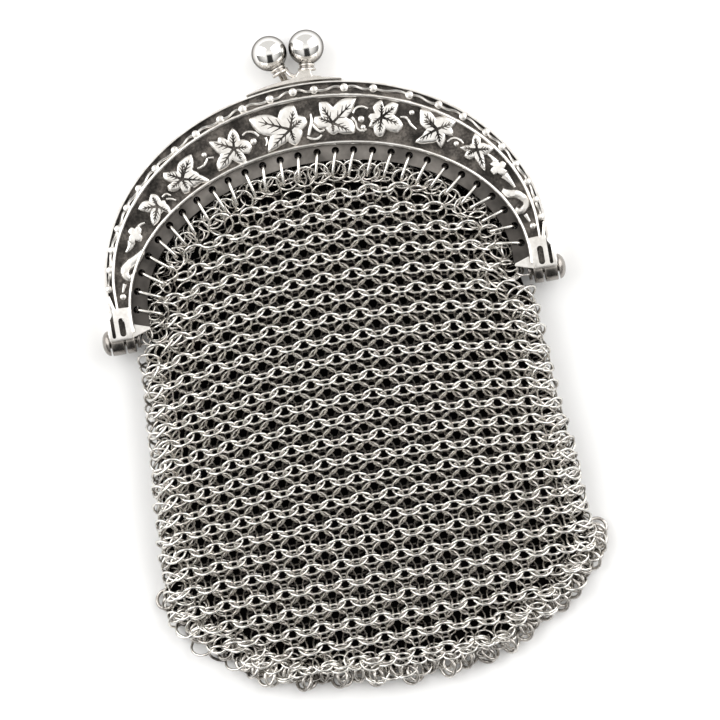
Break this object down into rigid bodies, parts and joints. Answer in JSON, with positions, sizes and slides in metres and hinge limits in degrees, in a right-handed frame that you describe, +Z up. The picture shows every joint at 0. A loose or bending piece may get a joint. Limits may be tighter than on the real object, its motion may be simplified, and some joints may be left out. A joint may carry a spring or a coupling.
{
  "type": "metal mesh purse",
  "caption": "Small kiss-lock purse of silver-coloured metal mesh with an arched frame of cast ivy relief, polished ball clasps, side hinges and a scalloped fringe of rings, lying flat.",
  "frame": {"origin": "middle of the bounding box's bottom, on the surface that the purse lies on", "axes": "+X across the purse to the right hinge, +Y from the bottom fringe up to the clasp balls, +Z up, away from the surface"},
  "size_m": [0.073, 0.1038, 0.0082],
  "materials": {
    "silver": "satin",
    "polished": "polished",
    "oxidised": "dull",
    "lining": "matt"
  },
  "bodies": {
    "root": {"front_frame": "silver", "back_frame": "silver", "left_hinge_pin": "silver", "right_hinge_pin": "silver", "front_clasp": "polished", "back_clasp": "polished", "mesh_bag": "silver", "lining": "lining", "front_jump_rings": "silver", "back_jump_rings": "silver", "bottom_fringe": "oxidised"}
  },
  "joints": []
}
